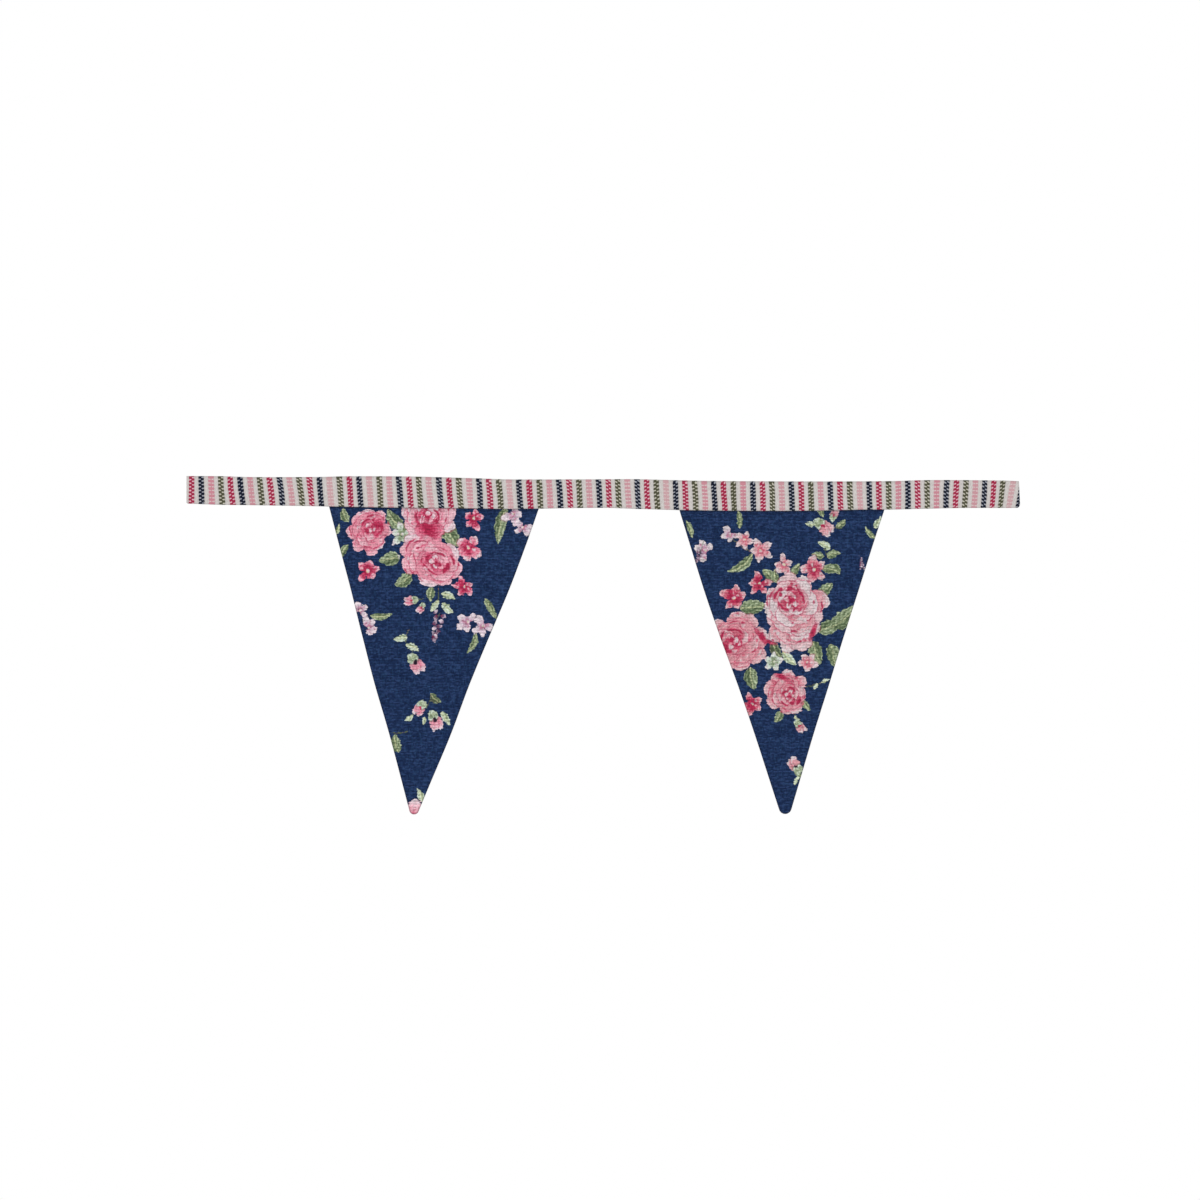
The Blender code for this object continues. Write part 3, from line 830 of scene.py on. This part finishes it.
# where bunches lie on each panel as its viewer sees it: bunch, across, up
layout = {
    "pennant_left_front": (("wide", -142.3, -66.2),),
    "pennant_right_front": (("tall", 148.8, -115.4),),
    "pennant_left_back": (("tall", 126.0, -98.0), ("wide", 205.0, -210.0)),
    "pennant_right_back": (("wide", -152.0, -86.0), ("tall", -75.0, -215.0)),
}


def coverSkins(piece, name, outer, plain):
    # the outer skin's points come first, and all those of the inner skin have one plain value
    inner = np.full((len(piece.data.vertices) - len(outer), *outer.shape[1:]), plain)
    setAttribute(piece, name, np.concatenate([outer, inner]))


def paintPanel(piece, panel, pennant, facing, x, z):
    canvas = openCanvas(x * -facing, z)
    for bunch, across, up in layout[panel]:
        motifs = [(kind, *motif) for kind, *group in bunches[bunch] for motif in group]
        for seed, (kind, right, above, size, turn) in enumerate(motifs, 1):
            patch = openPatch(canvas, across + right, up + above, 1.25 * size + 2.0, math.radians(turn),
                              palettes[bunch])
            if len(patch["index"]) > 0:
                painters[kind](patch, kind, size, seed)
                closePatch(canvas, patch)
    colour = linear(np.clip(canvas["colour"], 0.0, 255.0))
    coverSkins(piece, "printColour", np.column_stack([colour, np.ones(len(x))]), ink(inks["navy"]))
    coverSkins(piece, "printEdge", np.clip(canvas["edge"], -2.0, 2.0), -2.0)
    # painted shade along the rim, and the tape's painted shadow below it
    rim = 1.0 - smooth(insetAt(pennant, x, -z) / cotton["rimShade"])
    under = np.maximum(throughRows(tape["rows"], 2, x) - z, 0.0)
    coverSkins(piece, "edgeShade", np.maximum(rim, 0.8 * np.exp(-under / cotton["tapeShade"])), 0.0)


# Printed cotton

cotton = {
    "navy": (18, 38, 75), "navyLight": (23, 43, 81), "paleTeal": (38, 68, 100), "wornNavy": (44, 63, 103),
    "threadPitch": 1.0, "ribPitch": 2.5, "rimShade": 1.3, "tapeShade": 1.0,
    "roughness": 0.88, "sheen": 0.08, "relief": 0.00025, "reliefStrength": 0.5,
}


def makeCotton():
    material, shader = clothMaterial("floralCotton", cotton)
    tree = material.node_tree
    x, z = clothPlace(tree)
    wander = streaks(x, z, 9.0, 9.0, 0.0)
    row, column = (calc("DIVIDE", scaled(wander, 0.7, at), cotton["threadPitch"]) for at in (z, x))
    weft, warp = (threads(at, cotton["ribPitch"]) for at in (row, column))
    # each thread has its own light and dark lengths
    slub = ramped(streaks(x, calc("FLOOR", row), 4.5, 0.37, 1.0), 0.34, 0.66)
    rise = ramped(streaks(calc("FLOOR", column), z, 0.37, 4.5, 1.0), 0.34, 0.66)
    grain = streaks(x, z, 1.1, 0.9, 0.0)
    cloud = streaks(x, z, 16.0, 12.0)
    ground = mixed(ramped(cloud, 0.35, 0.65), ink(cotton["navy"]), ink(cotton["navyLight"]))
    ground = mixed(ramped(slub, 0.45, 1.0, 0.0, 0.55), ground, ink(cotton["wornNavy"]))
    ground = mixed(ramped(rise, 0.45, 1.0, 0.0, 0.25), ground, ink(cotton["paleTeal"]))
    # the threads fray the print's edge
    frayed = plus(painted(tree, "printEdge"), scaled(grain, 0.7, -0.35))
    frayed = plus(frayed, scaled(slub, 0.6, -0.3))
    colour = mixed(ramped(frayed, -0.24, 0.24), ground, painted(tree, "printColour", "Color"))
    tone = scaled(slub, 0.26, 0.19)
    for part, share in ((rise, 0.17), (grain, 0.68), (weft, 0.22), (warp, 0.05)):
        tone = scaled(part, share, tone)
    # painted shade along the rim and painted shadow below the tape darken the tone
    tone = times(tone, scaled(painted(tree, "edgeShade"), -0.45, 1.0))
    height = plus(times(calc("MAXIMUM", weft, warp), 0.5), slub)
    finishCloth(shader, cotton, colour, tone, height)
    return material


floralCotton = makeCotton()


def makePennant(name, pennant, side):
    # side is -1 for the front cloth and 1 for the back one
    which = "front" if side < 0 else "back"
    panel = f"pennant_{name}_{which}"
    outer = pennantSkin(pennant, cloth[f"{which}Pitch"], side, "outer")
    inner = pennantSkin(pennant, cloth["innerPitch"], side, "inner")
    piece = closedCloth(f"{name}{which.capitalize()}Panel", outer, inner)
    skin = np.concatenate([row[0] for row in outer["rows"]])
    paintPanel(piece, panel, pennant, side, skin[:, 0], skin[:, 2])
    piece.data.materials.append(floralCotton)
    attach(piece, "root")
    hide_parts(panel)
    rows = np.linspace(cloth["topDrop"], pennant["tipDrop"] + pennant["tipRadius"], 400)
    left, right = spanAt(pennant, rows)


# The tape's form, with the line of stitches that closes it

seamLine = {
    "up": 2.3, "sink": 0.16, "grooveReach": 0.55, "groovePitch": 3.0,
    # the stitches
    "pitch": 2.75, "length": 2.15, "radius": 0.17, "tallness": 1.15, "endSink": 0.22, "bedded": 0.10,
    "margin": 3.0, "rings": 6, "sides": 6,
    "roughness": 0.6, "sheen": 0.1, "twistPitch": 0.35, "twistSlope": 1.5,
    "dark": (0.52, 0.49, 0.45, 1.0), "light": (0.62, 0.59, 0.55, 1.0),
}


def slotHalf(x):
    # half the gap between the leaves: shut between the pennants, open where one hangs in it
    wide = 0.5 * cloth["clearance"] + cloth["thick"] + tape["clearance"]
    opened = np.zeros_like(x)
    for pennant in pennants.values():
        left, right = (float(v) for v in spanAt(pennant, cloth["topDrop"]))
        beside = np.maximum(np.maximum(left - x, x - right), 0.0) - 2.0 * tape["clearance"]
        opened = np.maximum(opened, 1.0 - smooth(beside / tape["slotEase"]))
    return tape["slotShut"] + (wide - tape["slotShut"]) * opened


def stripeNumber(x, across):
    # place along the strip counted in stripes; across runs from -1 at the front foot to 1 at the back one
    lean = throughRows(tape["lean"], 1, x)
    wander = tape["stripeWander"] * ripple(x, across * 24.0, tape["wanderPitch"], 21)
    return throughRows(tape["stripes"], 1, x + lean * (across + 0.5) + wander)


def stripeShare(number):
    # 1 on a stripe, 0 on the ground between
    off = np.abs(number - np.round(number)) * tape["stripePitch"]
    return smooth((tape["stripeHalf"] - off) / tape["stripeEdge"])


def footAt(x):
    foot = throughRows(tape["rows"], 2, x)
    for gap, radius in ((x - tape["left"], tape["cornerLeft"]), (tape["right"] - x, tape["cornerRight"])):
        out = np.clip(radius - gap, 0.0, radius)
        foot = foot + radius - np.sqrt(radius ** 2 - out ** 2)
    return foot


def fromEnd(x):
    return np.minimum(x - tape["left"], tape["right"] - x)


def turnedEnd(x):
    # what the turned-in end adds to a leaf's thickness
    return tape["endRise"] * (1.0 - smooth((fromEnd(x) - tape["endTurn"]) / tape["turnStep"]))


def edgeShare(away):
    # the share of the thickness at that distance from an edge
    return tape["edgeShare"] + (1.0 - tape["edgeShare"]) * rounded(away / tape["edgeRound"])


def leafFace(x, up):
    # distance of a leaf's outer face from the tape's middle, at a height above its foot
    hem = tape["hemRise"] * smooth((tape["hem"] + tape["hemStep"] - up) / tape["hemStep"])
    return slotHalf(x) + (tape["thick"] + hem + turnedEnd(x))


def wovenFace(x, up, across, slot):
    # the same with its rounded foot, the seam's groove, the stripes' relief and some unevenness
    seam = np.exp(-((up - seamLine["up"]) / seamLine["grooveReach"]) ** 2)
    groove = seamLine["sink"] * seam * (0.65 + 0.35 * ripple(x, 0.0 * x, seamLine["groovePitch"], 31))
    stripe = tape["stripeRise"] * stripeShare(stripeNumber(x, across)) * rounded(up / tape["edgeRound"])
    uneven = tape["uneven"] * ripple(x, up, tape["unevenPitch"], 33) * smooth(up / 2.0)
    return slot + (leafFace(x, up) - slot) * edgeShare(up) - groove + stripe + uneven


def tapeSkin(pitchAlong, pitchRound, layer):
    # rows along the tape, one after another from the front foot over the fold to the back foot
    isOuter = layer == "outer"
    x = np.linspace(tape["left"], tape["right"], int((tape["right"] - tape["left"]) / pitchAlong) + 1)
    top, foot, sway, slot = throughRows(tape["rows"], 1, x), footAt(x), swayAt(x), slotHalf(x)
    leaf = top - foot
    lean = tape["endLean"] * (1.0 - smooth((tape["right"] - x) / tape["leanLength"]))
    bend = slot + (tape["thick"] + turnedEnd(x))  # outer radius of the top fold
    ends = edgeShare(fromEnd(x))
    lowest, fold = tape["lowestStep"], tape["foldShare"]
    climb = [np.full_like(x, up) for up in (tape["footSteps"] if isOuter else (0.0,))]
    for part in np.linspace(0.0, 1.0, max(4, int(tape["leafSpan"] / pitchRound))):
        climb.append(lowest + part * (leaf - bend - lowest))
    arc = np.linspace(0.0, math.pi, max(7, int(tape["foldSpan"] / pitchRound)))[1:-1]
    steps = [(-1.0, up) for up in climb] + [(0.0, angle) for angle in arc] + [(1.0, up) for up in climb[::-1]]
    rows, across = [], []
    for side, value in steps:
        if side == 0.0:
            radius = bend if isOuter else slot
            y = -math.cos(value) * radius
            z = top - bend + math.sin(value) * radius
            put = np.full_like(x, 2.0 * fold * (value / math.pi - 0.5))
            if isOuter:
                y = y * (slot + (bend - slot) * ends) / bend
        else:
            z = foot + value
            put = side * (fold + (1.0 - fold) * (1.0 - value / (leaf - bend)))
            face = slot + (wovenFace(x, value, put, slot) - slot) * ends if isOuter else slot
            y = side * face
        drop = unit((top - z) / leaf)
        rows.append((np.stack([x + lean * drop, sway + y, z], axis=1), (x - x[0]) / (x[-1] - x[0])))
        across.append(put)
    return {"rows": rows, "down": np.linspace(0.0, 1.0, len(rows)), "across": across, "x": x}


# Woven stripes: crimson, navy, pale pink, green, and pale pink first from the turning stripe on
weave = {
    "crimson": (152, 38, 68), "navy": (10, 18, 38), "palePink": (192, 154, 158), "warmPink": (190, 128, 140),
    "green": (74, 74, 56), "crimsonFleck": (218, 172, 182), "navyFleck": (152, 156, 165),
    "palePinkFleck": (206, 184, 184), "greenFleck": (188, 185, 170),
    "ground": (204, 200, 197), "groundShade": (184, 178, 175),
    "turningStripe": 19.5, "halfWidth": 2.15, "dashPitch": 3.0, "dashSlope": 0.35, "ribPitch": 0.75,
    "roughness": 0.88, "sheen": 0.10, "relief": 0.0003, "reliefStrength": 0.6,
}


def makeTapeCloth():
    material, shader = clothMaterial("stripedTape", weave)
    names = ("stripeNumber", "stripeAcross", "aboveFoot")
    number, across, above = (painted(material.node_tree, name) for name in names)
    along = times(number, tape["stripePitch"])
    index = calc("FLOOR", plus(number, 0.5))
    off = times(minus(number, index), tape["stripePitch"])
    away = calc("ABSOLUTE", off)
    kind = calc("FLOORED_MODULO", index, 4.0)
    mirrored = calc("FLOORED_MODULO", minus(6.0, kind), 4.0)
    after = calc("GREATER_THAN", index, weave["turningStripe"])
    kind = plus(times(kind, minus(1.0, after)), times(mirrored, after))

    def pick(names):
        # one colour for each kind of stripe
        colour, *others = (ink(weave[name]) for name in names.split())
        for k, other in enumerate(others):
            colour = mixed(calc("GREATER_THAN", kind, k + 0.5), colour, other)
        return colour

    warmer = ramped(noiseAt(times(index, 5.7), 0.0, 0.0), 0.42, 0.58)
    dark = mixed(warmer, pick("crimson navy palePink green"), pick("crimson navy warmPink green"))
    fleck = pick("crimsonFleck navyFleck palePinkFleck greenFleck")
    wander = streaks(along, across, 5.0, 3.0)
    # light flecks stand in two columns, half a pitch apart; the pale pink stripe has plain ribs
    roped = minus(1.0, calc("COMPARE", kind, 2.0, 0.5))
    step = ramped(off, -0.3, 0.3, 0.0, 0.5 * weave["dashPitch"])
    # each stripe's flecks have their own lean and share
    own = noiseAt(times(index, 3.1), 4.0, 0.0)
    lean = ramped(own, 0.48, 0.52, -weave["dashSlope"], weave["dashSlope"])
    step = times(scaled(off, lean, step), roped)
    phase = plus(across, plus(step, times(wander, 1.2)))
    dash = calc("SINE", times(phase, math.tau / weave["dashPitch"]))
    column = times(ramped(away, 0.1, 0.9), ramped(away, 2.2, 1.3))
    filled = plus(scaled(own, 0.8, -1.1), dash)
    opened = ramped(scaled(column, 0.7, filled), 0.12, 0.62)
    toothed = scaled(dash, -0.24, weave["halfWidth"])
    inStripe = ramped(minus(toothed, away), -0.25, 0.25)
    rib = threads(across, weave["ribPitch"])
    grain = streaks(along, across, 0.6, 2.4)
    ground = mixed(ramped(grain, 0.35, 0.7), ink(weave["ground"]), ink(weave["groundShade"]))
    ground = mixed(ramped(away, 4.0, 2.0, 0.0, 0.16), ground, dark)
    colour = mixed(inStripe, ground, mixed(opened, dark, fleck))
    # painted shade: a little darker along the fold and the foot
    tone = times(ramped(calc("ABSOLUTE", across), 0.2, 1.7, 0.80, 1.0), ramped(above, 0.0, 1.3, 0.80, 1.0))
    tone = times(tone, scaled(rib, 0.08, 0.95))
    tone = times(tone, scaled(wander, 0.12, 0.94))
    height = plus(times(inStripe, scaled(opened, -0.8, 1.0)), times(rib, 0.35))
    finishCloth(shader, weave, colour, tone, height)
    return material


def makeTape():
    outer = tapeSkin(tape["pitchAlong"], tape["pitchRound"], "outer")
    inner = tapeSkin(tape["innerPitch"], tape["innerRound"], "inner")
    piece = closedCloth("foldedTape", outer, inner)
    values = {"stripeNumber": [], "stripeAcross": [], "aboveFoot": []}
    for skin in (outer, inner):
        tall = throughRows(tape["rows"], 1, skin["x"]) - footAt(skin["x"])
        for put in skin["across"]:
            values["stripeNumber"].append(stripeNumber(skin["x"], put))
            values["stripeAcross"].append(put * tall)
            values["aboveFoot"].append((1.0 - np.abs(put)) * tall)
    for name, parts in values.items():
        setAttribute(piece, name, np.concatenate(parts))
    piece.data.materials.append(makeTapeCloth())
    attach(piece, "root")
    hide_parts("tape")
    return piece


# Stitches that close the tape along its lower edge, front and back

def makeStitching():
    half, rings, sides = 0.5 * seamLine["length"], seamLine["rings"], seamLine["sides"]
    along = np.linspace(-half, half, rings)
    sink = seamLine["endSink"] * (np.abs(along) / half) ** 3
    thin = seamLine["radius"] * np.sqrt(np.clip(1.0 - (np.abs(along) / half) ** 4, 0.04, 1.0))
    turn = np.linspace(0.0, math.tau, sides, endpoint=False)
    local = np.empty((rings, sides, 3))
    local[:, :, 0] = along[:, None]
    local[:, :, 1] = thin[:, None] * np.cos(turn)[None] - sink[:, None]
    local[:, :, 2] = seamLine["tallness"] * thin[:, None] * np.sin(turn)[None]
    local = local.reshape(-1, 3)
    shape = [tuple(range(sides))[::-1], tuple(range((rings - 1) * sides, rings * sides))]
    for start in range(0, (rings - 1) * sides, sides):
        for s in range(sides):
            a, b = start + s, start + (s + 1) % sides
            shape.append((a, b, b + sides, a + sides))
    vary = np.random.default_rng(5).uniform
    margin = seamLine["margin"]
    places = np.arange(tape["left"] + margin, tape["right"] - margin, seamLine["pitch"])
    points, faces = [], []
    for side in (-1.0, 1.0):
        for at in places:
            x = at + local[:, 0] + vary(-0.1, 0.1)
            up = seamLine["up"] + vary(-0.08, 0.08)
            here = np.array([at])
            out = float(leafFace(here, np.array([up]))[0]) - seamLine["bedded"]
            z = float(footAt(here)[0]) + up + local[:, 2] + (x - at) * vary(-0.05, 0.05)
            y = float(swayAt(here)[0]) + side * (out + local[:, 1])
            start = len(points) * len(local)
            points.append(np.stack([x, y, z], axis=1))
            for face in shape:
                ring = tuple(start + k for k in face)
                faces.append(ring if side < 0 else ring[::-1])
    mesh = bpy.data.meshes.new("tapeStitching")
    mesh.from_pydata((np.concatenate(points) * mm).tolist(), [], faces)
    mesh.shade_smooth()
    piece = place("tapeStitching", mesh)
    material, shader = clothMaterial("sewingThread", seamLine)
    x, z = clothPlace(material.node_tree)
    twist = threads(plus(x, times(z, seamLine["twistSlope"])), seamLine["twistPitch"])
    colour = mixed(twist, seamLine["dark"], seamLine["light"])
    material.node_tree.links.new(colour, shader.inputs["Base Color"])
    mesh.materials.append(material)
    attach(piece, "root")
    print("tapeStitching", len(places) * 2, "stitches")
    return piece


for name, pennant in pennants.items():
    for side in (-1, 1):
        makePennant(name, pennant, side)
print("pennants are sewn and printed")

foldedTape = makeTape()
tapeStitching = makeStitching()
print("tape is folded and stitched")
